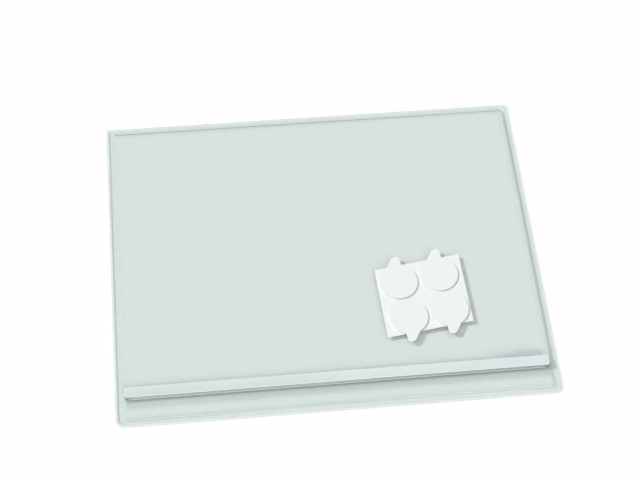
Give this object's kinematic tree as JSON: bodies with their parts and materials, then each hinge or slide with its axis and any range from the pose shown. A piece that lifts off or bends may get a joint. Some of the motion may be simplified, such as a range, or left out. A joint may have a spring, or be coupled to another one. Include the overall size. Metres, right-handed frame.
{
  "type": "self-adhesive document pocket",
  "caption": "Flat clear film pocket that takes documents through a lipped mouth along one long side, with a card of round adhesive pads lying on its front.",
  "frame": {"origin": "under the middle of the pocket's outline, on the underside of the back sheet", "axes": "+X along the pocket's long side, +Y from the mouth's side to the far side, +Z out of the pocket's front"},
  "size_m": [0.334, 0.264, 0.0048],
  "materials": {
    "clear_film": "clear film with a faint green tint, glossy",
    "strip_film": "clear film, thicker and a little paler, glossy",
    "card": "white coated card, satin",
    "adhesive_foam": "white closed-cell foam, matt",
    "cover_paper": "white release paper, satin"
  },
  "bodies": {
    "root": {"back_sheet": "clear_film", "front_sheet": "clear_film", "lower_lip": "clear_film", "opening_strip": "strip_film", "pad_card": "card", "adhesive_pad_1": "adhesive_foam", "adhesive_pad_2": "adhesive_foam", "adhesive_pad_3": "adhesive_foam", "adhesive_pad_4": "adhesive_foam", "pad_cover_1": "cover_paper", "pad_cover_2": "cover_paper", "pad_cover_3": "cover_paper", "pad_cover_4": "cover_paper"}
  },
  "joints": []
}
